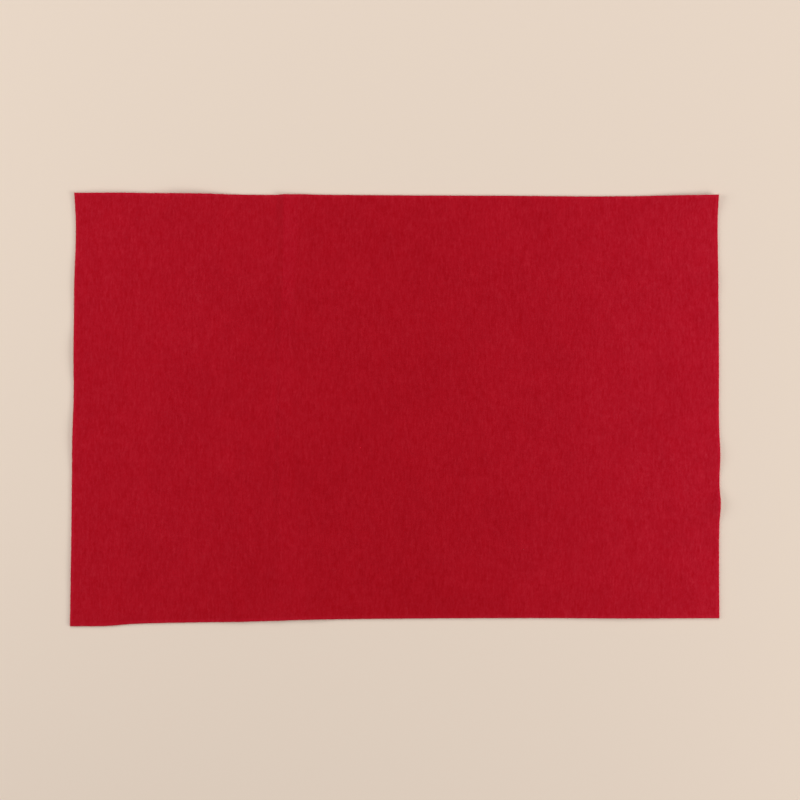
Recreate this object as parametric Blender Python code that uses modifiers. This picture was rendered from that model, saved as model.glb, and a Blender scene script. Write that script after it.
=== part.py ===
"""A cut sheet of red craft felt that lies flat, with one old fold line across it.

Metres, +Z up. X runs along the sheet's long side and Y across it. The origin is under the middle of
the sheet, on the surface that the sheet lies on.
"""

from collections import namedtuple
from math import pi, radians

import bmesh
import bpy
import numpy as np

# Driving dimensions
SHEET_LENGTH = 0.450
SHEET_WIDTH = 0.297
FELT_THICKNESS = 0.0015
CUT_RIM_BEVEL = 0.0003
CUT_RIM_ANGLE = radians(60)

# How far each hand-cut corner lies off the true rectangle
Corner = namedtuple("Corner", "off_x off_y")
BOTTOM_LEFT = Corner(off_x=-0.0014, off_y=-0.0024)
BOTTOM_RIGHT = Corner(off_x=0.0008, off_y=0.0032)
TOP_RIGHT = Corner(off_x=0.0000, off_y=0.0010)
TOP_LEFT = Corner(off_x=0.0020, off_y=0.0024)

# How far each cut edge wanders outwards from the straight line between its two corners.
# A place along an edge is counted from the bottom left corner's side.
EdgePoint = namedtuple("EdgePoint", "along out")
TOP_EDGE = (
    EdgePoint(along=0.000, out=0.0000),
    EdgePoint(along=0.030, out=0.0001),
    EdgePoint(along=0.080, out=-0.0003),
    EdgePoint(along=0.140, out=-0.0009),
    EdgePoint(along=0.149, out=-0.0007),
    EdgePoint(along=0.158, out=-0.0005),
    EdgePoint(along=0.167, out=-0.0007),
    EdgePoint(along=0.195, out=-0.0009),
    EdgePoint(along=0.300, out=-0.0011),
    EdgePoint(along=0.385, out=-0.0012),
    EdgePoint(along=0.425, out=-0.0003),
    EdgePoint(along=0.450, out=0.0000),
)
BOTTOM_EDGE = (
    EdgePoint(along=0.000, out=0.0000),
    EdgePoint(along=0.028, out=0.0000),
    EdgePoint(along=0.042, out=-0.0010),
    EdgePoint(along=0.070, out=-0.0015),
    EdgePoint(along=0.125, out=-0.0017),
    EdgePoint(along=0.155, out=-0.0023),
    EdgePoint(along=0.240, out=-0.0024),
    EdgePoint(along=0.320, out=-0.0017),
    EdgePoint(along=0.390, out=-0.0006),
    EdgePoint(along=0.450, out=0.0000),
)
LEFT_EDGE = (
    EdgePoint(along=0.000, out=0.0000),
    EdgePoint(along=0.060, out=-0.0002),
    EdgePoint(along=0.130, out=-0.0003),
    EdgePoint(along=0.155, out=-0.0007),
    EdgePoint(along=0.195, out=-0.0004),
    EdgePoint(along=0.230, out=-0.0003),
    EdgePoint(along=0.280, out=-0.0008),
    EdgePoint(along=0.297, out=0.0002),
)
RIGHT_EDGE = (
    EdgePoint(along=0.000, out=0.0000),
    EdgePoint(along=0.035, out=-0.0001),
    EdgePoint(along=0.066, out=0.0002),
    EdgePoint(along=0.080, out=0.0008),
    EdgePoint(along=0.096, out=0.0003),
    EdgePoint(along=0.113, out=0.0008),
    EdgePoint(along=0.135, out=0.0002),
    EdgePoint(along=0.180, out=0.0002),
    EdgePoint(along=0.245, out=-0.0002),
    EdgePoint(along=0.278, out=-0.0005),
    EdgePoint(along=0.297, out=0.0000),
)

# The fold line is a low ridge across the sheet, with an almost flat flank on each side of its crest.
# "aside" is how far its crest stands to the right of FOLD_ALONG, and the felt within about FOLD_PULL
# is drawn along with it. FOLD_FOOT is the share of a flank over which it eases into the flat felt.
FOLD_ALONG = 0.1455
FOLD_PULL = 0.030
FOLD_FOOT = 0.35
RidgePoint = namedtuple("RidgePoint", "across aside height left_reach right_reach")
FOLD_RIDGE = (
    RidgePoint(across=0.000, aside=-0.0003, height=0.0009, left_reach=0.016, right_reach=0.018),
    RidgePoint(across=0.050, aside=-0.0007, height=0.0008, left_reach=0.010, right_reach=0.017),
    RidgePoint(across=0.095, aside=-0.0010, height=0.0010, left_reach=0.006, right_reach=0.012),
    RidgePoint(across=0.150, aside=-0.0014, height=0.0008, left_reach=0.004, right_reach=0.009),
    RidgePoint(across=0.200, aside=-0.0011, height=0.0007, left_reach=0.005, right_reach=0.008),
    RidgePoint(across=0.225, aside=-0.0004, height=0.0011, left_reach=0.008, right_reach=0.009),
    RidgePoint(across=0.255, aside=0.0004, height=0.0013, left_reach=0.018, right_reach=0.012),
    RidgePoint(across=0.283, aside=0.0007, height=0.0017, left_reach=0.007, right_reach=0.013),
    RidgePoint(across=0.297, aside=0.0011, height=0.0018, left_reach=0.006, right_reach=0.013),
)

# Where an edge has curled up off the surface: its middle along the edge, half its length, how far
# in from the edge it reaches, and how high it stands at the edge
Lift = namedtuple("Lift", "edge along half_length reach rise")
EDGE_LIFTS = (
    Lift(edge="top", along=0.030, half_length=0.050, reach=0.030, rise=0.0018),
    Lift(edge="top", along=0.084, half_length=0.034, reach=0.034, rise=0.0036),
    Lift(edge="top", along=0.160, half_length=0.018, reach=0.022, rise=0.0006),
    Lift(edge="top", along=0.450, half_length=0.060, reach=0.024, rise=0.0018),
    Lift(edge="left", along=0.237, half_length=0.026, reach=0.018, rise=0.0006),
    Lift(edge="left", along=0.186, half_length=0.026, reach=0.022, rise=0.0013),
    Lift(edge="left", along=0.131, half_length=0.028, reach=0.022, rise=0.0011),
    Lift(edge="left", along=0.045, half_length=0.030, reach=0.016, rise=0.0003),
    Lift(edge="bottom", along=0.122, half_length=0.030, reach=0.022, rise=0.0006),
    Lift(edge="bottom", along=0.168, half_length=0.020, reach=0.020, rise=0.0009),
    Lift(edge="bottom", along=0.380, half_length=0.050, reach=0.020, rise=0.0006),
    Lift(edge="right", along=0.080, half_length=0.014, reach=0.016, rise=0.0028),
    Lift(edge="right", along=0.115, half_length=0.016, reach=0.016, rise=0.0014),
    Lift(edge="right", along=0.237, half_length=0.014, reach=0.012, rise=0.0006),
    Lift(edge="right", along=0.297, half_length=0.016, reach=0.014, rise=0.0008),
)

# Rows of cells across the grid, fine at the edges and beside the fold line. Each zone runs from the
# end of the one before it, the first from the edge.
Zone = namedtuple("Zone", "until cells")
ZONES_ALONG = (
    Zone(until=0.028, cells=4),
    Zone(until=0.132, cells=8),
    Zone(until=FOLD_ALONG, cells=5),
    Zone(until=0.164, cells=7),
    Zone(until=0.200, cells=4),
    Zone(until=0.422, cells=14),
    Zone(until=SHEET_LENGTH, cells=5),
)
ZONES_ACROSS = (
    Zone(until=0.024, cells=4),
    Zone(until=0.064, cells=4),
    Zone(until=0.132, cells=12),
    Zone(until=0.215, cells=8),
    Zone(until=0.270, cells=8),
    Zone(until=SHEET_WIDTH, cells=5),
)

# Looks of the plain solid
FELT_RED = (0.376, 0.006, 0.015, 1.0)
FELT_ROUGHNESS = 0.95


def clear_scene():
    for item in list(bpy.data.objects):
        bpy.data.objects.remove(item, do_unlink=True)


def stations(zones):
    """Places of the grid lines from 0 to the end of the last zone."""
    places = [0.0]
    for zone in zones:
        places.extend(np.linspace(places[-1], zone.until, zone.cells + 1)[1:])
    return np.array(places)


def smooth_curve(rows, at):
    """Heights, at each place in at, of the smooth curve through rows of (place, height)."""
    places, heights = np.array(rows).T
    slopes = np.gradient(heights, places)
    row = np.clip(np.searchsorted(places, at) - 1, 0, len(places) - 2)
    span = places[row + 1] - places[row]
    part = (at - places[row]) / span
    rise = part * part * (3 - 2 * part)
    leave = part * (1 - part) ** 2 * span * slopes[row]
    arrive = part * part * (part - 1) * span * slopes[row + 1]
    return heights[row] + rise * (heights[row + 1] - heights[row]) + leave + arrive


def ridge_curve(column, across):
    """One column of the fold line's table as a smooth curve across the sheet."""
    return smooth_curve([(row.across, getattr(row, column)) for row in FOLD_RIDGE], across)


def plan_place(along, across):
    """Plan position of points of the sheet, given by their places along and across it."""
    right = along / SHEET_LENGTH
    up = across / SHEET_WIDTH
    shares = ((1 - right) * (1 - up), right * (1 - up), right * up, (1 - right) * up)
    corners = (BOTTOM_LEFT, BOTTOM_RIGHT, TOP_RIGHT, TOP_LEFT)
    x = along - SHEET_LENGTH / 2
    y = across - SHEET_WIDTH / 2
    for share, corner in zip(shares, corners):
        x = x + share * corner.off_x
        y = y + share * corner.off_y
    x = x + right * smooth_curve(RIGHT_EDGE, across) - (1 - right) * smooth_curve(LEFT_EDGE, across)
    y = y + up * smooth_curve(TOP_EDGE, along) - (1 - up) * smooth_curve(BOTTOM_EDGE, along)
    pulled = np.exp(-(((along - FOLD_ALONG) / FOLD_PULL) ** 2))
    return x + pulled * ridge_curve("aside", across), y


def fold_height(along, across):
    """Height of the fold line's ridge, its crest sharp and the foot of each flank eased."""
    left = ridge_curve("left_reach", across)
    right = ridge_curve("right_reach", across)
    reach = np.where(along < FOLD_ALONG, left, right)
    nearness = np.clip(1 - np.abs(along - FOLD_ALONG) / reach, 0, 1)
    eased = np.where(nearness < FOLD_FOOT, nearness**2 / (2 * FOLD_FOOT), nearness - FOLD_FOOT / 2)
    return ridge_curve("height", across) * eased / (1 - FOLD_FOOT / 2)


def lift_height(along, across, lift):
    """Height of one curled stretch of an edge."""
    follows = {"top": along, "bottom": along, "left": across, "right": across}[lift.edge]
    inward = {
        "top": SHEET_WIDTH - across,
        "bottom": across,
        "left": along,
        "right": SHEET_LENGTH - along,
    }[lift.edge]
    offset = np.clip((follows - lift.along) / lift.half_length, -1, 1)
    nearness = np.clip(1 - inward / lift.reach, 0, 1)
    return lift.rise * (1 + np.cos(pi * offset)) / 2 * nearness**2


def underside_height(along, across):
    """Height of the sheet's underside above the surface, zero wherever the sheet lies on it."""
    height = fold_height(along, across)
    for lift in EDGE_LIFTS:
        height = height + lift_height(along, across, lift)
    return height


def make_underside(name):
    """The sheet's underside as one open grid, its plan centred on the origin."""
    along_lines = stations(ZONES_ALONG)
    across_lines = stations(ZONES_ACROSS)
    columns = len(along_lines) - 1
    rows = len(across_lines) - 1
    grid = bmesh.new()
    bmesh.ops.create_grid(grid, x_segments=columns, y_segments=rows, size=1)
    mesh = bpy.data.meshes.new(name)
    grid.to_mesh(mesh)
    grid.free()

    points = np.array([vertex.co for vertex in mesh.vertices])
    along = along_lines[np.rint((points[:, 0] + 1) / 2 * columns).astype(int)]
    across = across_lines[np.rint((points[:, 1] + 1) / 2 * rows).astype(int)]
    x, y = plan_place(along, across)
    points[:, 0] = x - (x.min() + x.max()) / 2
    points[:, 1] = y - (y.min() + y.max()) / 2
    points[:, 2] = underside_height(along, across)
    mesh.vertices.foreach_set("co", points.ravel())
    mesh.update()
    return mesh


def make_felt_material(name):
    material = bpy.data.materials.new(name)
    material.use_nodes = True
    shader = material.node_tree.nodes["Principled BSDF"]
    shader.inputs["Base Color"].default_value = FELT_RED
    shader.inputs["Roughness"].default_value = FELT_ROUGHNESS
    shader.inputs["Metallic"].default_value = 0.0
    material.diffuse_color = FELT_RED
    return material


def make_felt_sheet(collection):
    """The underside thickened upwards into the felt, its cut rim slightly rounded."""
    mesh = make_underside("felt_sheet")
    mesh.materials.append(make_felt_material("red_felt"))
    mesh.shade_smooth()
    sheet = bpy.data.objects.new("felt_sheet", mesh)
    collection.objects.link(sheet)

    thicken = sheet.modifiers.new("Felt thickness", "SOLIDIFY")
    thicken.thickness = FELT_THICKNESS
    thicken.offset = 1
    thicken.use_rim = True

    soften = sheet.modifiers.new("Cut rim", "BEVEL")
    soften.width = CUT_RIM_BEVEL
    soften.segments = 1
    soften.limit_method = "ANGLE"
    soften.angle_limit = CUT_RIM_ANGLE
    return sheet


def main():
    clear_scene()
    collection = bpy.data.collections.new("felt sheet")
    bpy.context.scene.collection.children.link(collection)
    make_felt_sheet(collection)


main()
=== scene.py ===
"""Looks of the cut sheet of red craft felt: its cloth with the fold line and curled edges, the loose
fibres on both faces and the fuzz along the cut, seen from straight above on a plain pale table.

Metres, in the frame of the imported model: X along the sheet's long side, Y across it, Z up.
"""

from collections import namedtuple
from math import pi, radians

import bmesh
import bpy
import numpy as np
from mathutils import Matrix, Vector, noise


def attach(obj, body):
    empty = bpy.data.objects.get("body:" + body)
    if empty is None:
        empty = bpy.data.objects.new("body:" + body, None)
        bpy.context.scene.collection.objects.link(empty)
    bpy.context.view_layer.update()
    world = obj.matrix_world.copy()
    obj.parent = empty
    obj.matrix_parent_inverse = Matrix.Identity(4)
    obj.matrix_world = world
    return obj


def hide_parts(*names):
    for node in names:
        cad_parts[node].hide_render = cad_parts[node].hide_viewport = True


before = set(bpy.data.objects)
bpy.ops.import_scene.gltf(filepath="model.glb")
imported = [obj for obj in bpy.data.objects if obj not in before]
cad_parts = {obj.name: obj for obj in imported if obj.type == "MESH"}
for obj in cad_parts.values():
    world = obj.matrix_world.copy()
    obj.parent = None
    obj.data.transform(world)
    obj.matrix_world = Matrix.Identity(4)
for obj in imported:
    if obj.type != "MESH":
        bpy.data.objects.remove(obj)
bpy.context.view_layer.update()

BODY = "root"
SHEET_NODE = "felt_sheet"

# The sheet's sizes, the same as its solid's
SHEET_LENGTH = 0.450
SHEET_WIDTH = 0.297
FELT_THICKNESS = 0.0015

# How far each hand-cut corner lies off the true rectangle
Corner = namedtuple("Corner", "off_x off_y")
BOTTOM_LEFT = Corner(off_x=-0.0014, off_y=-0.0024)
BOTTOM_RIGHT = Corner(off_x=0.0008, off_y=0.0032)
TOP_RIGHT = Corner(off_x=0.0000, off_y=0.0010)
TOP_LEFT = Corner(off_x=0.0020, off_y=0.0024)

# How far each cut edge wanders outwards from the straight line between its two corners.
# A place along an edge is counted from the bottom left corner's side.
EdgePoint = namedtuple("EdgePoint", "along out")
TOP_EDGE = (
    EdgePoint(along=0.000, out=0.0000),
    EdgePoint(along=0.030, out=0.0001),
    EdgePoint(along=0.080, out=-0.0003),
    EdgePoint(along=0.140, out=-0.0009),
    EdgePoint(along=0.149, out=-0.0007),
    EdgePoint(along=0.158, out=-0.0005),
    EdgePoint(along=0.167, out=-0.0007),
    EdgePoint(along=0.195, out=-0.0009),
    EdgePoint(along=0.300, out=-0.0011),
    EdgePoint(along=0.385, out=-0.0012),
    EdgePoint(along=0.425, out=-0.0003),
    EdgePoint(along=0.450, out=0.0000),
)
BOTTOM_EDGE = (
    EdgePoint(along=0.000, out=0.0000),
    EdgePoint(along=0.028, out=0.0000),
    EdgePoint(along=0.042, out=-0.0010),
    EdgePoint(along=0.070, out=-0.0015),
    EdgePoint(along=0.125, out=-0.0017),
    EdgePoint(along=0.155, out=-0.0023),
    EdgePoint(along=0.240, out=-0.0024),
    EdgePoint(along=0.320, out=-0.0017),
    EdgePoint(along=0.390, out=-0.0006),
    EdgePoint(along=0.450, out=0.0000),
)
LEFT_EDGE = (
    EdgePoint(along=0.000, out=0.0000),
    EdgePoint(along=0.060, out=-0.0002),
    EdgePoint(along=0.130, out=-0.0003),
    EdgePoint(along=0.155, out=-0.0007),
    EdgePoint(along=0.195, out=-0.0004),
    EdgePoint(along=0.230, out=-0.0003),
    EdgePoint(along=0.280, out=-0.0008),
    EdgePoint(along=0.297, out=0.0002),
)
RIGHT_EDGE = (
    EdgePoint(along=0.000, out=0.0000),
    EdgePoint(along=0.035, out=-0.0001),
    EdgePoint(along=0.066, out=0.0002),
    EdgePoint(along=0.080, out=0.0008),
    EdgePoint(along=0.096, out=0.0003),
    EdgePoint(along=0.113, out=0.0008),
    EdgePoint(along=0.135, out=0.0002),
    EdgePoint(along=0.180, out=0.0002),
    EdgePoint(along=0.245, out=-0.0002),
    EdgePoint(along=0.278, out=-0.0005),
    EdgePoint(along=0.297, out=0.0000),
)

# The fold line is a low ridge across the sheet, with an almost flat flank on each side of its crest.
# "aside" is how far its crest stands to the right of FOLD_ALONG, and the felt within about FOLD_PULL
# is drawn along with it. FOLD_FOOT is the share of a flank over which it eases into the flat felt.
FOLD_ALONG = 0.1455
FOLD_PULL = 0.030
FOLD_FOOT = 0.35
RidgePoint = namedtuple("RidgePoint", "across aside height left_reach right_reach")
FOLD_RIDGE = (
    RidgePoint(across=0.000, aside=-0.0003, height=0.0009, left_reach=0.016, right_reach=0.018),
    RidgePoint(across=0.050, aside=-0.0007, height=0.0008, left_reach=0.010, right_reach=0.017),
    RidgePoint(across=0.095, aside=-0.0010, height=0.0010, left_reach=0.006, right_reach=0.012),
    RidgePoint(across=0.150, aside=-0.0014, height=0.0008, left_reach=0.004, right_reach=0.009),
    RidgePoint(across=0.200, aside=-0.0011, height=0.0007, left_reach=0.005, right_reach=0.008),
    RidgePoint(across=0.225, aside=-0.0004, height=0.0011, left_reach=0.008, right_reach=0.009),
    RidgePoint(across=0.255, aside=0.0004, height=0.0013, left_reach=0.018, right_reach=0.012),
    RidgePoint(across=0.283, aside=0.0007, height=0.0017, left_reach=0.007, right_reach=0.013),
    RidgePoint(across=0.297, aside=0.0011, height=0.0018, left_reach=0.006, right_reach=0.013),
)

# Painted light and shade on the fold line, standing in for how the light falls on its flanks. How much
# darker, or below zero lighter, the felt is painted on the fold line's left flank and, on top of that,
# the painted shade in the narrow crease line whose middle lies CREASE_OFFSET from the crest, and how
# much lighter the painted light makes the band along its right flank, which is band wide. The change
# at the crest takes about FLANK_TONE_TURN, and the one at the band's far side about BAND_TONE_TURN.
FoldPaintedShading = namedtuple("FoldPaintedShading", "across darker crease lighter band")
FOLD_PAINTED_SHADING = (
    FoldPaintedShading(across=0.000, darker=-0.07, crease=0.00, lighter=0.08, band=0.0180),
    FoldPaintedShading(across=0.050, darker=-0.02, crease=0.02, lighter=0.06, band=0.0170),
    FoldPaintedShading(across=0.095, darker=-0.02, crease=0.04, lighter=0.04, band=0.0070),
    FoldPaintedShading(across=0.150, darker=-0.09, crease=0.00, lighter=0.08, band=0.0070),
    FoldPaintedShading(across=0.200, darker=-0.01, crease=0.03, lighter=0.08, band=0.0070),
    FoldPaintedShading(across=0.225, darker=0.04, crease=0.03, lighter=0.14, band=0.0080),
    FoldPaintedShading(across=0.255, darker=-0.09, crease=0.13, lighter=0.23, band=0.0090),
    FoldPaintedShading(across=0.283, darker=-0.04, crease=0.05, lighter=0.19, band=0.0105),
    FoldPaintedShading(across=0.297, darker=-0.02, crease=0.02, lighter=0.15, band=0.0110),
)
CREASE_OFFSET = -0.0023
CREASE_HALF_WIDTH = 0.0014
FLANK_TONE_TURN = 0.0005
BAND_TONE_TURN = 0.0010
# A painted highlight that makes the faint line beside the fold lighter by this much
SECOND_LINE_PAINTED_HIGHLIGHT = 0.12

# Where an edge has curled up off the table: its middle along the edge, half its length, how far in
# from the edge it reaches, and how high it stands at the edge
Lift = namedtuple("Lift", "edge along half_length reach rise")
EDGE_LIFTS = (
    Lift(edge="top", along=0.030, half_length=0.050, reach=0.030, rise=0.0018),
    Lift(edge="top", along=0.084, half_length=0.034, reach=0.034, rise=0.0036),
    Lift(edge="top", along=0.160, half_length=0.018, reach=0.022, rise=0.0006),
    Lift(edge="top", along=0.450, half_length=0.060, reach=0.024, rise=0.0018),
    Lift(edge="left", along=0.237, half_length=0.026, reach=0.018, rise=0.0006),
    Lift(edge="left", along=0.186, half_length=0.026, reach=0.022, rise=0.0013),
    Lift(edge="left", along=0.131, half_length=0.028, reach=0.022, rise=0.0011),
    Lift(edge="left", along=0.045, half_length=0.030, reach=0.016, rise=0.0003),
    Lift(edge="bottom", along=0.122, half_length=0.030, reach=0.022, rise=0.0006),
    Lift(edge="bottom", along=0.168, half_length=0.020, reach=0.020, rise=0.0009),
    Lift(edge="bottom", along=0.380, half_length=0.050, reach=0.020, rise=0.0006),
    Lift(edge="right", along=0.080, half_length=0.014, reach=0.016, rise=0.0028),
    Lift(edge="right", along=0.115, half_length=0.016, reach=0.016, rise=0.0014),
    Lift(edge="right", along=0.237, half_length=0.014, reach=0.012, rise=0.0006),
    Lift(edge="right", along=0.297, half_length=0.016, reach=0.014, rise=0.0008),
)

# Finer shape that only the cloth has: a faint second line beside the fold, halfway across the
# sheet, a rounded and ragged rim, a top that sinks towards the cut, and slight lumps on its face
SECOND_LINE_OFFSET = -0.0050
SECOND_LINE_FLANK = 0.0022
SECOND_LINE_HEIGHT = 0.00026
SECOND_LINE_ACROSS = 0.150
SECOND_LINE_LENGTH = 0.035
RIM_ROUNDING = 0.00050
RIM_ROUNDING_STEPS = 3
RIM_ANGLE = radians(60)
RIM_DROOP = 0.00022
RIM_DROOP_REACH = 0.0024
RIM_RAGGED = 0.00016
RIM_RAGGED_SIZE = 0.0022
FACE_LUMPS = 0.00012
FACE_LUMP_SIZE = 0.0065
RAGGED_SEED = 1
LUMP_SEED = 2

# How far each step of a seed moves the noise, in features along X, Y and Z
NOISE_SHIFT = (7.3, 3.1, 5.7)

# Rows of cells across the cloth's grid, fine at the cut edges and beside the fold line. Each zone
# runs from the end of the one before it, the first from the edge.
Zone = namedtuple("Zone", "until cells")
ZONES_ALONG = (
    Zone(until=0.003, cells=4),
    Zone(until=0.030, cells=15),
    Zone(until=0.136, cells=54),
    Zone(until=0.144, cells=8),
    Zone(until=FOLD_ALONG, cells=4),
    Zone(until=0.147, cells=4),
    Zone(until=0.162, cells=14),
    Zone(until=0.420, cells=126),
    Zone(until=0.447, cells=15),
    Zone(until=SHEET_LENGTH, cells=4),
)
ZONES_ACROSS = (
    Zone(until=0.003, cells=4),
    Zone(until=0.030, cells=16),
    Zone(until=0.267, cells=134),
    Zone(until=0.294, cells=16),
    Zone(until=SHEET_WIDTH, cells=4),
)

# Loose fibres: how many, how long and how thick, how closely they follow the felt's grain, which runs
# across the sheet, and how far the middle of one arches up
Fibres = namedtuple("Fibres", "name seed count shortest longest radius grain_spread arch")
TOP_FIBRES = (
    Fibres(
        name="surface_fibres_1", seed=11, count=9500, shortest=0.0020, longest=0.0060,
        radius=0.000028, grain_spread=radians(24), arch=0.00005,
    ),
    Fibres(
        name="surface_fibres_2", seed=12, count=9500, shortest=0.0015, longest=0.0045,
        radius=0.000024, grain_spread=radians(38), arch=0.00004,
    ),
    Fibres(
        name="surface_fibres_3", seed=13, count=8000, shortest=0.0015, longest=0.0050,
        radius=0.000030, grain_spread=radians(70), arch=0.00006,
    ),
)
UNDER_FIBRES = Fibres(
    name="underside_fibres", seed=21, count=3500, shortest=0.0020, longest=0.0060,
    radius=0.000034, grain_spread=radians(40), arch=0.00003,
)

# Every fibre's shape. A fibre's ends keep FIBRE_TIP of its radius, its height is FIBRE_FLATNESS of its
# width, and its heading turns by about FIBRE_BEND along it. A loose fibre's ends lie FIBRE_DEPTH deep
# in the felt, it keeps FIBRE_MARGIN away from the cut, and its radius and arch lie between these
# shares of its kind's. SHORTEST_DIRECTION keeps an upright fibre's side from a division by zero.
FIBRE_RINGS = 4
FIBRE_SIDES = 3
FIBRE_TIP = 0.45
FIBRE_FLATNESS = 0.35
FIBRE_BEND = radians(55)
FIBRE_DEPTH = 0.00003
FIBRE_MARGIN = 0.0006
FIBRE_RADIUS_SHARES = (0.7, 1.3)
FIBRE_ARCH_SHARES = (0.3, 1.0)
SHORTEST_DIRECTION = 1e-9

# The fuzz along the cut. Its roots stand FUZZ_INSET inside the cut, at FUZZ_ROOT_SHARES of the felt's
# thickness. Its fibres turn from straight out by about FUZZ_SPREAD in plan and rise by FUZZ_PITCH,
# give or take FUZZ_PITCH_SPREAD.
FUZZ_SEED = 31
FUZZ_COUNT = 9000
FUZZ_SHORTEST = 0.00020
FUZZ_LONGEST = 0.00075
FUZZ_RADIUS = 0.000020
FUZZ_RADIUS_SHARES = (0.7, 1.4)
FUZZ_ROOT_SHARES = (0.25, 0.85)
FUZZ_INSET = 2.5 * RIM_RAGGED
FUZZ_SPREAD = radians(55)
FUZZ_PITCH = radians(4)
FUZZ_PITCH_SPREAD = radians(20)
# Painted light: how much lighter the fuzz is than the felt beside it, standing in for the light that
# its thin, translucent fibres let through
FUZZ_PAINTED_LIGHT = 0.7

# The four sides of the cut, in turn round the sheet
CutSide = namedtuple("CutSide", "length start run outward")
CUT_SIDES = (
    CutSide(length=SHEET_LENGTH, start=(0.0, 0.0), run=(1, 0), outward=(0, -1)),
    CutSide(length=SHEET_WIDTH, start=(SHEET_LENGTH, 0.0), run=(0, 1), outward=(1, 0)),
    CutSide(length=SHEET_LENGTH, start=(SHEET_LENGTH, SHEET_WIDTH), run=(-1, 0), outward=(0, 1)),
    CutSide(length=SHEET_WIDTH, start=(0.0, SHEET_WIDTH), run=(0, -1), outward=(-1, 0)),
)

# Looks. Colours are linear RGB, and the ramp runs from the felt's darkest red to its lightest.
RampStep = namedtuple("RampStep", "place colour")
RED_RAMP = (
    RampStep(place=0.0, colour=(0.344, 0.0007, 0.0058, 1.0)),
    RampStep(place=0.4, colour=(0.384, 0.0034, 0.0118, 1.0)),
    RampStep(place=0.8, colour=(0.422, 0.0086, 0.0190, 1.0)),
    RampStep(place=1.0, colour=(0.440, 0.0118, 0.0226, 1.0)),
)

# The middle place on the ramp of the cloth and of the fibres, and how widely the single fibres' own
# shades spread about it. The fibres' higher place is a painted highlight, where the loose fibres and
# the fuzz catch light.
CLOTH_RED = 0.5
FIBRE_RED = 0.7
FIBRE_SHADE_SPREAD = 0.15

# One step of painted light lightens the ramp's red, green and blue by these shares
PAINTED_SHADING_GAIN = (0.285, 1.15, 1.10)

# Painted light on the sheet: how much lighter or darker its middle is, darker towards the bottom edge
# and lighter towards the top one, and how much lighter its two ends are, which lie nearer the side
# lights, growing with the distance from the middle. Near the cut the felt is painted lighter still.
PaintedEndLight = namedtuple("PaintedEndLight", "across left middle right")
PAINTED_END_LIGHT = (
    PaintedEndLight(across=0.000, left=0.21, middle=-0.09, right=0.56),
    PaintedEndLight(across=0.150, left=0.25, middle=-0.05, right=0.57),
    PaintedEndLight(across=0.297, left=0.27, middle=0.05, right=0.46),
)
# The painted light on the ends grows with this power of the distance from the middle
PAINTED_END_LIGHT_POWER = 1.5
# The painted highlight beside the cut, where the rounded, fuzzy rim catches light, and how far in from
# the cut it reaches
RIM_PAINTED_HIGHLIGHT = 0.60
RIM_PAINTED_HIGHLIGHT_REACH = 0.0028

# The felt's layers of noise: the width and length of a feature, how far it is turned from the grain,
# how much finer detail it holds, and how much of it goes into the shade on the ramp, the relief, the
# roughness and the dapples of light and dark. A layer of lines shows as thin single fibres.
Layer = namedtuple(
    "Layer",
    "wide long turn detail shade relief rough dapple lines",
    defaults=(1.0, 0.0, 0.0, 0.0, 0.0, False),
)
FELT_LAYERS = (
    # Streaks along the grain, and fibres laid across it to both sides
    Layer(wide=0.00105, long=0.0054, turn=0.0, shade=0.86, relief=0.4, rough=0.15),
    Layer(wide=0.00075, long=0.0030, turn=radians(35), shade=0.38, relief=0.3),
    Layer(wide=0.00075, long=0.0030, turn=radians(-42), shade=0.38, relief=0.3),
    # Small clouds, dapples and wide patches
    Layer(wide=0.0030, long=0.0042, turn=0.0, detail=2.0, shade=0.42, relief=0.3, rough=0.1),
    Layer(wide=0.010, long=0.014, turn=0.0, dapple=0.09),
    Layer(wide=0.050, long=0.060, turn=radians(20), shade=0.10, dapple=0.08),
    # Single fibres, near the grain and across it
    Layer(wide=0.00050, long=0.0040, turn=radians(-8), shade=0.22, relief=0.16, lines=True),
    Layer(wide=0.00042, long=0.0028, turn=radians(32), shade=0.17, relief=0.12, lines=True),
    Layer(wide=0.00042, long=0.0024, turn=radians(-58), shade=0.13, relief=0.10, lines=True),
)
LOOSE_FIBRE_LAYER = Layer(wide=0.002, long=0.004, turn=0.0, shade=0.4, rough=0.2)

# The middle of a noise's values, and how far from it the noise that draws the fibre lines may lie on
# a line
NOISE_MIDDLE = 0.5
FIBRE_LINE_WIDTH = 0.06

# How far the grain wanders to each side, and how many of its bends a metre holds
GRAIN_WANDER = 0.0012
GRAIN_BENDS = 260.0

# The fine relief, and how dull the felt and its fibres are
RELIEF_MIDDLE = 0.5
RELIEF_STRENGTH = 0.5
RELIEF_DEPTH = 0.00016
CLOTH_ROUGHNESS = 0.92
FIBRE_ROUGHNESS = 0.85
FELT_SPECULAR = 0.02
FELT_SHEEN = 0.25
FELT_SHEEN_ROUGHNESS = 0.5
FELT_SHEEN_TINT = (1.0, 0.35, 0.40, 1.0)

# The pale table, just below the felt's flat underside
TABLE_COLOUR = (0.800, 0.672, 0.562, 1.0)
TABLE_ROUGHNESS = 0.9
TABLE_SPECULAR = 0.1
TABLE_RADIUS = 1.4
TABLE_SIDES = 128
TABLE_DROP = 0.0001

# The lights, which all face the middle of the sheet, and the even surround
SoftBox = namedtuple("SoftBox", "name place size power")
SOFT_BOXES = (
    SoftBox(name="right_box", place=(1.6, -0.6, 0.9), size=0.8, power=22.5),
    SoftBox(name="left_box", place=(-1.3, 0.1, 0.75), size=0.8, power=10.0),
    SoftBox(name="top_box", place=(0.2, 1.4, 1.3), size=1.2, power=15.9),
)
WORLD_COLOUR = (1.0, 0.99, 0.98, 1.0)
WORLD_STRENGTH = 0.215

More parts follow.
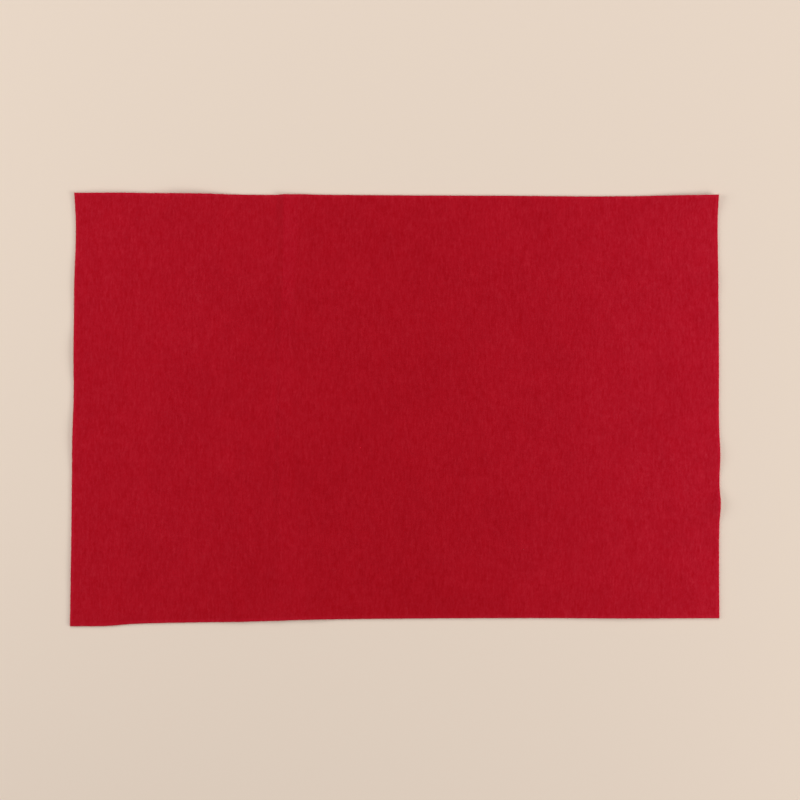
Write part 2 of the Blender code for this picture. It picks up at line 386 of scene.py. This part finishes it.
# The photograph's frame: 800 pixels across 557 mm of table, its middle right of and above the
# sheet's middle
FRAME_WIDTH = 0.5566
FRAME_CENTRE = (0.0034, 0.00665)
LENS = 60.0
SENSOR = 36.0


def stations(zones):
    """Places of the grid lines from 0 to the end of the last zone."""
    places = [0.0]
    for zone in zones:
        places.extend(np.linspace(places[-1], zone.until, zone.cells + 1)[1:])
    return np.array(places)


def smooth_curve(rows, at):
    """Heights, at each place in at, of the smooth curve through rows of (place, height)."""
    places, heights = np.array(rows).T
    slopes = np.gradient(heights, places)
    row = np.clip(np.searchsorted(places, at) - 1, 0, len(places) - 2)
    span = places[row + 1] - places[row]
    part = (at - places[row]) / span
    rise = part * part * (3 - 2 * part)
    leave = part * (1 - part) ** 2 * span * slopes[row]
    arrive = part * part * (part - 1) * span * slopes[row + 1]
    return heights[row] + rise * (heights[row + 1] - heights[row]) + leave + arrive


def column_curve(table, column, across):
    """One column of a table, whose rows lie across the sheet, as a smooth curve."""
    return smooth_curve([(row.across, getattr(row, column)) for row in table], across)


def ridge_curve(column, across):
    """One column of the fold line's table as a smooth curve across the sheet."""
    return column_curve(FOLD_RIDGE, column, across)


def plan_place(along, across):
    """Plan position of points of the sheet, given by their places along and across it."""
    right = along / SHEET_LENGTH
    up = across / SHEET_WIDTH
    shares = ((1 - right) * (1 - up), right * (1 - up), right * up, (1 - right) * up)
    corners = (BOTTOM_LEFT, BOTTOM_RIGHT, TOP_RIGHT, TOP_LEFT)
    x = along - SHEET_LENGTH / 2
    y = across - SHEET_WIDTH / 2
    for share, corner in zip(shares, corners):
        x = x + share * corner.off_x
        y = y + share * corner.off_y
    x = x + right * smooth_curve(RIGHT_EDGE, across) - (1 - right) * smooth_curve(LEFT_EDGE, across)
    y = y + up * smooth_curve(TOP_EDGE, along) - (1 - up) * smooth_curve(BOTTOM_EDGE, along)
    pulled = np.exp(-(((along - FOLD_ALONG) / FOLD_PULL) ** 2))
    return x + pulled * ridge_curve("aside", across), y


def plan_centre():
    """Middle of the outline's bounding box, which the solid has on its origin."""
    along = stations(ZONES_ALONG)
    across = stations(ZONES_ACROSS)
    ends = np.concatenate(
        [
            np.array(plan_place(along, np.zeros_like(along))).T,
            np.array(plan_place(along, np.full_like(along, SHEET_WIDTH))).T,
            np.array(plan_place(np.zeros_like(across), across)).T,
            np.array(plan_place(np.full_like(across, SHEET_LENGTH), across)).T,
        ]
    )
    return (ends.min(0) + ends.max(0)) / 2


PLAN_CENTRE = plan_centre()


def fold_height(along, across):
    """Height of the fold line's ridge, its crest sharp and the foot of each flank eased."""
    left = ridge_curve("left_reach", across)
    right = ridge_curve("right_reach", across)
    reach = np.where(along < FOLD_ALONG, left, right)
    nearness = np.clip(1 - np.abs(along - FOLD_ALONG) / reach, 0, 1)
    eased = np.where(nearness < FOLD_FOOT, nearness**2 / (2 * FOLD_FOOT), nearness - FOLD_FOOT / 2)
    return ridge_curve("height", across) * eased / (1 - FOLD_FOOT / 2)


def second_line(along, across):
    """The faint line beside the fold, halfway across the sheet, 1 at its middle and 0 off it."""
    offset = (along - FOLD_ALONG - SECOND_LINE_OFFSET) / SECOND_LINE_FLANK
    from_middle = (across - SECOND_LINE_ACROSS) / SECOND_LINE_LENGTH
    return np.exp(-offset * offset - from_middle * from_middle)


def lift_height(along, across, lift):
    """Height of one curled stretch of an edge."""
    follows = {"top": along, "bottom": along, "left": across, "right": across}[lift.edge]
    inward = {
        "top": SHEET_WIDTH - across,
        "bottom": across,
        "left": along,
        "right": SHEET_LENGTH - along,
    }[lift.edge]
    offset = np.clip((follows - lift.along) / lift.half_length, -1, 1)
    nearness = np.clip(1 - inward / lift.reach, 0, 1)
    return lift.rise * (1 + np.cos(pi * offset)) / 2 * nearness**2


def underside_height(along, across):
    """Height of the cloth's underside above the table."""
    height = fold_height(along, across) + SECOND_LINE_HEIGHT * second_line(along, across)
    for lift in EDGE_LIFTS:
        height = height + lift_height(along, across, lift)
    return height


def edge_distance(along, across):
    """Distance in from the nearest cut edge."""
    return np.minimum(
        np.minimum(along, SHEET_LENGTH - along), np.minimum(across, SHEET_WIDTH - across)
    )


def painted_fold_shading(along, across):
    """Painted light and shade on the fold line's two flanks and in its crease: how much lighter, or
    below zero darker, the felt is painted there.
    """
    past_crest = along - FOLD_ALONG
    share_left = np.clip(1 + past_crest / ridge_curve("left_reach", across), 0, 1)
    left = -column_curve(FOLD_PAINTED_SHADING, "darker", across) * np.minimum(share_left / FOLD_FOOT, 1)
    from_crease = (past_crest - CREASE_OFFSET) / CREASE_HALF_WIDTH
    left = left - column_curve(FOLD_PAINTED_SHADING, "crease", across) * np.exp(-from_crease * from_crease)
    past_band = past_crest - column_curve(FOLD_PAINTED_SHADING, "band", across)
    on_band = (1 - np.tanh(past_band / BAND_TONE_TURN)) / 2
    right = column_curve(FOLD_PAINTED_SHADING, "lighter", across) * on_band
    turn = (1 + np.tanh(past_crest / FLANK_TONE_TURN)) / 2
    return left * (1 - turn) + right * turn


def painted_felt_shading(along, across):
    """Painted light and shade on the felt: how much lighter, or below zero darker, it is painted than
    its even red, down the sheet's middle and towards its two ends, along the fold line and the line
    beside it, and most beside the cut."""
    # Painted light: the ends lighter towards the side lights, the middle lighter towards the top edge
    from_middle = np.clip(2 * along / SHEET_LENGTH - 1, -1, 1)
    at_left, middle, at_right = [
        column_curve(PAINTED_END_LIGHT, column, across) for column in ("left", "middle", "right")
    ]
    ends = np.where(from_middle < 0, at_left, at_right) * np.abs(from_middle) ** PAINTED_END_LIGHT_POWER
    # Painted highlight beside the cut, where the rounded, fuzzy rim catches light
    near_cut = np.clip(1 - edge_distance(along, across) / RIM_PAINTED_HIGHLIGHT_REACH, 0, 1)
    # Painted light and shade on the fold, and a painted highlight on the line beside it
    lines = painted_fold_shading(along, across) + SECOND_LINE_PAINTED_HIGHLIGHT * second_line(along, across)
    return middle + ends + RIM_PAINTED_HIGHLIGHT * near_cut + lines


def sheet_points(along, across, height):
    """Points in the frame, at a height above the underside."""
    x, y = plan_place(along, across)
    z = underside_height(along, across) + height
    return np.stack([x - PLAN_CENTRE[0], y - PLAN_CENTRE[1], z], axis=-1)


def noise_at(points, size, seed):
    """Smooth noise from about -1 to 1 at each point, with features of the given size."""
    shift = Vector([seed * step for step in NOISE_SHIFT])
    return np.array([noise.noise(Vector(p) / size + shift) for p in points])


def mesh_from_arrays(name, points, quads, triangles):
    """A mesh from arrays of its vertices, four-sided and three-sided faces."""
    mesh = bpy.data.meshes.new(name)
    corners = np.concatenate([quads.ravel(), triangles.ravel()]).astype(np.int32)
    starts = np.concatenate(
        [np.arange(len(quads)) * 4, len(quads) * 4 + np.arange(len(triangles)) * 3]
    ).astype(np.int32)
    mesh.vertices.add(len(points))
    mesh.vertices.foreach_set("co", points.astype(np.float32).ravel())
    mesh.loops.add(len(corners))
    mesh.loops.foreach_set("vertex_index", corners)
    mesh.polygons.add(len(starts))
    mesh.polygons.foreach_set("loop_start", starts)
    mesh.update(calc_edges=True)
    mesh.validate()
    return mesh


def add_object(name, mesh):
    """A new object of the mesh, in the scene."""
    item = bpy.data.objects.new(name, mesh)
    bpy.context.scene.collection.objects.link(item)
    return item


def store_floats(mesh, name, values):
    """Keeps a value for each vertex, which a thickened and rounded mesh carries on."""
    attribute = mesh.attributes.new(name, "FLOAT", "POINT")
    attribute.data.foreach_set("value", values.astype(np.float32))


def read_floats(mesh, name):
    """The values that store_floats kept, one for each vertex."""
    values = np.zeros(len(mesh.vertices), np.float32)
    mesh.attributes[name].data.foreach_get("value", values)
    return values.astype(float)


def make_cloth(name, material):
    """The closed cloth: its underside grid thickened upwards, with a rounded, ragged cut rim."""
    along_lines = stations(ZONES_ALONG)
    across_lines = stations(ZONES_ACROSS)
    columns = len(along_lines) - 1
    rows = len(across_lines) - 1
    grid = bmesh.new()
    bmesh.ops.create_grid(grid, x_segments=columns, y_segments=rows, size=1)
    mesh = bpy.data.meshes.new(name)
    grid.to_mesh(mesh)
    grid.free()
    units = np.array([vertex.co for vertex in mesh.vertices])
    along = along_lines[np.rint((units[:, 0] + 1) / 2 * columns).astype(int)]
    across = across_lines[np.rint((units[:, 1] + 1) / 2 * rows).astype(int)]
    points = sheet_points(along, across, 0.0)
    mesh.vertices.foreach_set("co", points.ravel())
    store_floats(mesh, "along", along)
    store_floats(mesh, "across", across)
    mesh.update()

    draft = add_object(name + "_draft", mesh)
    thicken = draft.modifiers.new("Felt thickness", "SOLIDIFY")
    thicken.thickness = FELT_THICKNESS
    thicken.offset = 1
    soften = draft.modifiers.new("Cut rim", "BEVEL")
    soften.width = RIM_ROUNDING
    soften.segments = RIM_ROUNDING_STEPS
    soften.limit_method = "ANGLE"
    soften.angle_limit = RIM_ANGLE
    evaluated = draft.evaluated_get(bpy.context.evaluated_depsgraph_get())
    cloth_mesh = bpy.data.meshes.new_from_object(evaluated)
    bpy.data.objects.remove(draft)
    roughen_cloth(cloth_mesh)
    cloth_mesh.materials.append(material)
    cloth_mesh.shade_smooth()
    return add_object(name, cloth_mesh)


def face_lumps(points):
    """How far the top face stands above or below its even height at points on it."""
    return FACE_LUMPS * noise_at(points, FACE_LUMP_SIZE, LUMP_SEED)


def roughen_cloth(mesh):
    """Lets the top sink towards the cut, makes the rim ragged and the top face slightly lumpy."""
    points = np.array([vertex.co for vertex in mesh.vertices])
    normals = np.array([vertex.normal for vertex in mesh.vertices])
    along = read_floats(mesh, "along")
    across = read_floats(mesh, "across")
    inward = edge_distance(along, across)
    above = points[:, 2] - underside_height(along, across)
    upper = np.clip(above / FELT_THICKNESS, 0, 1)
    near_cut = np.clip(1 - inward / RIM_DROOP_REACH, 0, 1)

    points[:, 2] -= RIM_DROOP * upper * near_cut**2
    sideways = 1 - np.abs(normals[:, 2])
    ragged = RIM_RAGGED * sideways * noise_at(points, RIM_RAGGED_SIZE, RAGGED_SEED)
    lumps = upper * face_lumps(points)
    points[:, :2] += normals[:, :2] * ragged[:, None]
    points[:, 2] += lumps
    points[:, 2] = np.maximum(points[:, 2], 0.0)
    mesh.vertices.foreach_set("co", points.ravel())
    # Painted light and shade for each vertex, standing in for how the light falls on the felt
    store_floats(mesh, "painted_shading", painted_felt_shading(along, across))
    mesh.update()


def tube_faces(count, rings):
    """Faces of count closed tubes, each of some rings of FIBRE_SIDES vertices."""
    ring = np.arange(FIBRE_SIDES)
    after = (ring + 1) % FIBRE_SIDES
    start = (np.arange(count) * rings * FIBRE_SIDES)[:, None, None]
    level = (np.arange(rings - 1) * FIBRE_SIDES)[None, :, None]
    low = start + level
    quads = np.stack(
        [low + ring, low + FIBRE_SIDES + ring, low + FIBRE_SIDES + after, low + after], axis=-1
    ).reshape(-1, 4)
    first = start[:, 0] + ring
    last = start[:, 0] + (rings - 1) * FIBRE_SIDES + ring[::-1]
    return quads, np.concatenate([first, last])


def tubes(name, paths, radii, material, shade, painted_shading):
    """Closed thin tubes along paths, an array of (tube, ring, xyz), tapered towards both ends and
    pressed flat, each with its own shade and with the painted light and shade of its place."""
    count, rings = paths.shape[:2]
    runs = np.gradient(paths, axis=1)
    runs /= np.linalg.norm(runs, axis=2, keepdims=True)
    side = np.cross(runs, (0.0, 0.0, 1.0))
    side /= np.maximum(np.linalg.norm(side, axis=2, keepdims=True), SHORTEST_DIRECTION)
    top = np.cross(side, runs)
    taper = FIBRE_TIP + (1 - FIBRE_TIP) * np.sin(pi * np.linspace(0, 1, rings))
    thick = radii[:, None] * taper[None, :]
    turns = 2 * pi * np.arange(FIBRE_SIDES) / FIBRE_SIDES + pi / 2
    points = paths[:, :, None, :] + thick[:, :, None, None] * (
        np.cos(turns)[None, None, :, None] * side[:, :, None, :]
        + FIBRE_FLATNESS * np.sin(turns)[None, None, :, None] * top[:, :, None, :]
    )
    mesh = mesh_from_arrays(name, points.reshape(-1, 3), *tube_faces(count, rings))
    store_floats(mesh, "shade", np.repeat(shade, rings * FIBRE_SIDES))
    store_floats(mesh, "painted_shading", np.repeat(painted_shading, rings * FIBRE_SIDES))
    mesh.materials.append(material)
    return add_object(name, mesh)


def make_face_fibres(kind, material, on_top):
    """Loose fibres that lie on one face of the felt, their ends sunk in it."""
    rng = np.random.default_rng(kind.seed)
    count = kind.count
    length = rng.uniform(kind.shortest, kind.longest, count)
    heading = pi / 2 + rng.normal(0, kind.grain_spread, count)
    bend = rng.normal(0, FIBRE_BEND, count)
    along = rng.uniform(0, SHEET_LENGTH, count)
    across = rng.uniform(0, SHEET_WIDTH, count)
    share = np.linspace(-0.5, 0.5, FIBRE_RINGS)
    turned = heading[:, None] + bend[:, None] * share[None, :]
    step = length[:, None] / (FIBRE_RINGS - 1)
    run_along = np.cumsum(np.cos(turned) * step, axis=1)
    run_across = np.cumsum(np.sin(turned) * step, axis=1)
    along = along[:, None] + run_along - run_along.mean(1, keepdims=True)
    across = across[:, None] + run_across - run_across.mean(1, keepdims=True)
    along = np.clip(along, FIBRE_MARGIN, SHEET_LENGTH - FIBRE_MARGIN)
    across = np.clip(across, FIBRE_MARGIN, SHEET_WIDTH - FIBRE_MARGIN)
    arch = kind.arch * rng.uniform(*FIBRE_ARCH_SHARES, count)
    rise = arch[:, None] * np.cos(pi * share)[None, :] - FIBRE_DEPTH
    near_cut = np.clip(1 - edge_distance(along, across) / RIM_DROOP_REACH, 0, 1)
    if on_top:
        height = FELT_THICKNESS - RIM_DROOP * near_cut**2 + rise
    else:
        height = np.full_like(rise, FIBRE_DEPTH)
    radii = kind.radius * rng.uniform(*FIBRE_RADIUS_SHARES, count)
    paths = sheet_points(along, across, height)
    if on_top:
        paths[:, :, 2] += face_lumps(paths.reshape(-1, 3)).reshape(paths.shape[:2])
    shade = rng.normal(0, FIBRE_SHADE_SPREAD, count)
    # Each fibre takes the painted light and shade of its place on the felt
    painted_shading = painted_felt_shading(along.mean(1), across.mean(1))
    return tubes(kind.name, paths, radii, material, shade, painted_shading)


def cut_rim_places(rng, count):
    """Random places round the cut, as (along, across, outward direction in plan)."""
    around = rng.uniform(0, 2 * (SHEET_LENGTH + SHEET_WIDTH), count)
    along = np.zeros(count)
    across = np.zeros(count)
    out = np.zeros((count, 2))
    passed = 0.0
    for side in CUT_SIDES:
        here = (around >= passed) & (around < passed + side.length)
        gone = around[here] - passed
        along[here] = side.start[0] + side.run[0] * gone
        across[here] = side.start[1] + side.run[1] * gone
        out[here] = side.outward
        passed += side.length
    return along, across, out


def make_cut_fuzz(name, material):
    """Short fibres that stand out of the cut rim all round the sheet."""
    rng = np.random.default_rng(FUZZ_SEED)
    along, across, out = cut_rim_places(rng, FUZZ_COUNT)
    length = rng.uniform(FUZZ_SHORTEST, FUZZ_LONGEST, FUZZ_COUNT)
    turn = rng.normal(0, FUZZ_SPREAD, FUZZ_COUNT)
    pitch = rng.normal(FUZZ_PITCH, FUZZ_PITCH_SPREAD, FUZZ_COUNT)
    root_height = rng.uniform(*FUZZ_ROOT_SHARES, FUZZ_COUNT) * FELT_THICKNESS
    roots = sheet_points(along, across, root_height)
    heading = np.arctan2(out[:, 1], out[:, 0])
    rings = np.linspace(0, 1, FIBRE_RINGS)
    bend = rng.normal(0, FIBRE_BEND, FUZZ_COUNT)
    way = heading[:, None] + turn[:, None] + bend[:, None] * rings[None, :]
    step = (length + FUZZ_INSET)[:, None] / (FIBRE_RINGS - 1)
    flat_step = np.cos(pitch)[:, None] * step
    climb = np.repeat(np.sin(pitch)[:, None] * step, FIBRE_RINGS, axis=1)
    moves = np.stack([np.cos(way) * flat_step, np.sin(way) * flat_step, climb], axis=-1)
    moves[:, 0] = 0
    inward = np.stack([-out[:, 0], -out[:, 1], np.zeros(FUZZ_COUNT)], axis=-1) * FUZZ_INSET
    paths = (roots + inward)[:, None, :] + np.cumsum(moves, axis=1)
    paths[:, :, 2] = np.maximum(paths[:, :, 2], 2 * FUZZ_RADIUS)
    radii = FUZZ_RADIUS * rng.uniform(*FUZZ_RADIUS_SHARES, FUZZ_COUNT)
    shade = rng.normal(0, FIBRE_SHADE_SPREAD, FUZZ_COUNT)
    # The fuzz takes the painted light and shade of its place, with more painted light on top
    return tubes(name, paths, radii, material, shade, painted_felt_shading(along, across) + FUZZ_PAINTED_LIGHT)


def add_node(tree, kind, **settings):
    """A new node of the kind, with its settings."""
    node = tree.nodes.new(kind)
    for setting, value in settings.items():
        setattr(node, setting, value)
    return node


def new_material(name):
    """A material, its nodes and its shader."""
    material = bpy.data.materials.new(name)
    material.use_nodes = True
    return material, material.node_tree, material.node_tree.nodes["Principled BSDF"]


def stretched_noise(tree, place, layer):
    """A layer's noise, its features stretched along Y and turned in plan."""
    mapping = add_node(tree, "ShaderNodeMapping", vector_type="TEXTURE")
    mapping.inputs["Rotation"].default_value = (0.0, 0.0, layer.turn)
    mapping.inputs["Scale"].default_value = (layer.wide, layer.long, layer.wide)
    tree.links.new(place, mapping.inputs["Vector"])
    texture = add_node(tree, "ShaderNodeTexNoise")
    texture.inputs["Scale"].default_value = 1.0
    texture.inputs["Detail"].default_value = layer.detail
    tree.links.new(mapping.outputs["Vector"], texture.inputs["Vector"])
    return texture.outputs["Fac"]


def fibre_lines(tree, place, layer):
    """A layer's thin bright lines, 1 on a line and 0 between lines."""
    field = stretched_noise(tree, place, layer)
    centred = add_node(tree, "ShaderNodeMath", operation="SUBTRACT")
    tree.links.new(field, centred.inputs[0])
    centred.inputs[1].default_value = NOISE_MIDDLE
    distance = add_node(tree, "ShaderNodeMath", operation="ABSOLUTE")
    tree.links.new(centred.outputs[0], distance.inputs[0])
    line = add_node(tree, "ShaderNodeMapRange", interpolation_type="SMOOTHSTEP")
    line.inputs["From Min"].default_value = 0.0
    line.inputs["From Max"].default_value = FIBRE_LINE_WIDTH
    line.inputs["To Min"].default_value = 1.0
    line.inputs["To Max"].default_value = 0.0
    tree.links.new(distance.outputs[0], line.inputs["Value"])
    return line.outputs["Result"]


def make_layers(tree, place, layers):
    """Each layer with the value of its noise or lines."""
    made = []
    for layer in layers:
        draw = fibre_lines if layer.lines else stretched_noise
        made.append((layer, draw(tree, place, layer)))
    return made


def layer_sum(tree, made, column, middle):
    """middle plus the sum of weight times (value - NOISE_MIDDLE) over the layers that have a weight
    in the column."""
    total = None
    for layer, value in made:
        weight = getattr(layer, column)
        if weight == 0:
            continue
        scaled = add_node(tree, "ShaderNodeMath", operation="MULTIPLY_ADD")
        tree.links.new(value, scaled.inputs[0])
        scaled.inputs[1].default_value = weight
        if total is None:
            scaled.inputs[2].default_value = middle - NOISE_MIDDLE * weight
        else:
            shifted = add_node(tree, "ShaderNodeMath", operation="ADD")
            tree.links.new(total, shifted.inputs[0])
            shifted.inputs[1].default_value = -NOISE_MIDDLE * weight
            tree.links.new(shifted.outputs[0], scaled.inputs[2])
        total = scaled.outputs[0]
    return total


def wavy_place(tree):
    """Object coordinates bent a little, so that the grain's lines wander as laid fibres do."""
    coordinates = add_node(tree, "ShaderNodeTexCoord")
    warp = add_node(tree, "ShaderNodeTexNoise")
    warp.inputs["Scale"].default_value = GRAIN_BENDS
    warp.inputs["Detail"].default_value = 1.0
    tree.links.new(coordinates.outputs["Object"], warp.inputs["Vector"])
    centred = add_node(tree, "ShaderNodeVectorMath", operation="SUBTRACT")
    tree.links.new(warp.outputs["Color"], centred.inputs[0])
    centred.inputs[1].default_value = (NOISE_MIDDLE, NOISE_MIDDLE, NOISE_MIDDLE)
    bent = add_node(tree, "ShaderNodeVectorMath", operation="MULTIPLY_ADD")
    tree.links.new(centred.outputs[0], bent.inputs[0])
    bent.inputs[1].default_value = (GRAIN_WANDER, GRAIN_WANDER, 0.0)
    tree.links.new(coordinates.outputs["Object"], bent.inputs[2])
    return bent.outputs[0]


def red_ramp(tree, value):
    """The felt's red at a value of the ramp, lightened or darkened by the painted light and shade that
    the mesh carries there.
    """
    ramp = add_node(tree, "ShaderNodeValToRGB")
    steps = ramp.color_ramp.elements
    for wanted in RED_RAMP[1:-1]:
        steps.new(wanted.place)
    for step, wanted in zip(steps, RED_RAMP):
        step.color = wanted.colour
    tree.links.new(value, ramp.inputs["Fac"])
    painted_shading = add_node(tree, "ShaderNodeAttribute", attribute_name="painted_shading")
    gain = add_node(tree, "ShaderNodeVectorMath", operation="MULTIPLY_ADD")
    tree.links.new(painted_shading.outputs["Fac"], gain.inputs[0])
    gain.inputs[1].default_value = PAINTED_SHADING_GAIN
    gain.inputs[2].default_value = (1.0, 1.0, 1.0)
    toned = add_node(tree, "ShaderNodeVectorMath", operation="MULTIPLY")
    tree.links.new(ramp.outputs["Color"], toned.inputs[0])
    tree.links.new(gain.outputs[0], toned.inputs[1])
    return toned.outputs[0]


def make_cloth_material():
    """Matted fibres in the felt's layers, with a bump from the same layers and a light sheen."""
    material, tree, shader = new_material("felt_cloth")
    made = make_layers(tree, wavy_place(tree), FELT_LAYERS)
    dappled = add_node(tree, "ShaderNodeVectorMath", operation="SCALE")
    tree.links.new(red_ramp(tree, layer_sum(tree, made, "shade", CLOTH_RED)), dappled.inputs[0])
    tree.links.new(layer_sum(tree, made, "dapple", 1.0), dappled.inputs["Scale"])
    tree.links.new(dappled.outputs[0], shader.inputs["Base Color"])
    tree.links.new(layer_sum(tree, made, "rough", CLOTH_ROUGHNESS), shader.inputs["Roughness"])

    bump = add_node(tree, "ShaderNodeBump")
    bump.inputs["Strength"].default_value = RELIEF_STRENGTH
    bump.inputs["Distance"].default_value = RELIEF_DEPTH
    tree.links.new(layer_sum(tree, made, "relief", RELIEF_MIDDLE), bump.inputs["Height"])
    tree.links.new(bump.outputs["Normal"], shader.inputs["Normal"])
    shader.inputs["Metallic"].default_value = 0.0
    shader.inputs["Specular IOR Level"].default_value = FELT_SPECULAR
    shader.inputs["Sheen Weight"].default_value = FELT_SHEEN
    shader.inputs["Sheen Roughness"].default_value = FELT_SHEEN_ROUGHNESS
    shader.inputs["Sheen Tint"].default_value = FELT_SHEEN_TINT
    return material


def make_fibre_material():
    """Single fibres, each with its own shade of the felt's red."""
    material, tree, shader = new_material("felt_fibre")
    coordinates = add_node(tree, "ShaderNodeTexCoord")
    made = make_layers(tree, coordinates.outputs["Object"], (LOOSE_FIBRE_LAYER,))
    own = add_node(tree, "ShaderNodeAttribute", attribute_name="shade")
    shaded = add_node(tree, "ShaderNodeMath", operation="ADD")
    tree.links.new(layer_sum(tree, made, "shade", FIBRE_RED), shaded.inputs[0])
    tree.links.new(own.outputs["Fac"], shaded.inputs[1])
    tree.links.new(red_ramp(tree, shaded.outputs[0]), shader.inputs["Base Color"])
    tree.links.new(layer_sum(tree, made, "rough", FIBRE_ROUGHNESS), shader.inputs["Roughness"])
    shader.inputs["Metallic"].default_value = 0.0
    shader.inputs["Specular IOR Level"].default_value = FELT_SPECULAR
    return material


def make_table():
    """The plain pale surface, matt and round."""
    bpy.ops.mesh.primitive_circle_add(
        vertices=TABLE_SIDES, radius=TABLE_RADIUS, fill_type="NGON", location=(0.0, 0.0, -TABLE_DROP)
    )
    table = bpy.context.object
    table.name = "pale_table"
    material, _, shader = new_material("pale_table")
    shader.inputs["Base Color"].default_value = TABLE_COLOUR
    shader.inputs["Roughness"].default_value = TABLE_ROUGHNESS
    shader.inputs["Specular IOR Level"].default_value = TABLE_SPECULAR
    table.data.materials.append(material)
    return table


def make_lights():
    """Soft boxes to the right, to the left and beyond the far edge, and an even pale surround."""
    for box in SOFT_BOXES:
        data = bpy.data.lights.new(box.name, "AREA")
        data.shape = "SQUARE"
        data.size = box.size
        data.energy = box.power
        light = bpy.data.objects.new(box.name, data)
        light.location = box.place
        light.rotation_euler = (-Vector(box.place)).to_track_quat("-Z", "Y").to_euler()
        light.visible_camera = False
        bpy.context.scene.collection.objects.link(light)
    world = bpy.data.worlds.new("studio")
    world.use_nodes = True
    background = world.node_tree.nodes["Background"]
    background.inputs["Color"].default_value = WORLD_COLOUR
    background.inputs["Strength"].default_value = WORLD_STRENGTH
    bpy.context.scene.world = world


def make_camera():
    """Straight above, with the photograph's frame at the height of the felt's top face."""
    data = bpy.data.cameras.new("overhead")
    data.lens = LENS
    data.sensor_width = SENSOR
    camera = bpy.data.objects.new("overhead", data)
    height = FRAME_WIDTH * LENS / SENSOR + FELT_THICKNESS
    camera.location = (FRAME_CENTRE[0], FRAME_CENTRE[1], height)
    bpy.context.scene.collection.objects.link(camera)
    bpy.context.scene.camera = camera


def main():
    """Makes the table, its lights and camera, and the felt with its loose fibres and fuzz."""
    make_camera()
    make_lights()
    table = make_table()
    cloth_material = make_cloth_material()
    fibre_material = make_fibre_material()
    cloth = make_cloth("felt_cloth", cloth_material)
    extras = [make_face_fibres(kind, fibre_material, True) for kind in TOP_FIBRES]
    extras.append(make_face_fibres(UNDER_FIBRES, fibre_material, False))
    extras.append(make_cut_fuzz("cut_edge_fuzz", fibre_material))
    for piece in [cloth, *extras]:
        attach(piece, BODY)
    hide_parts(SHEET_NODE)
    bpy.context.scene.view_settings.view_transform = "Standard"
    bpy.context.scene.view_settings.look = "None"


main()
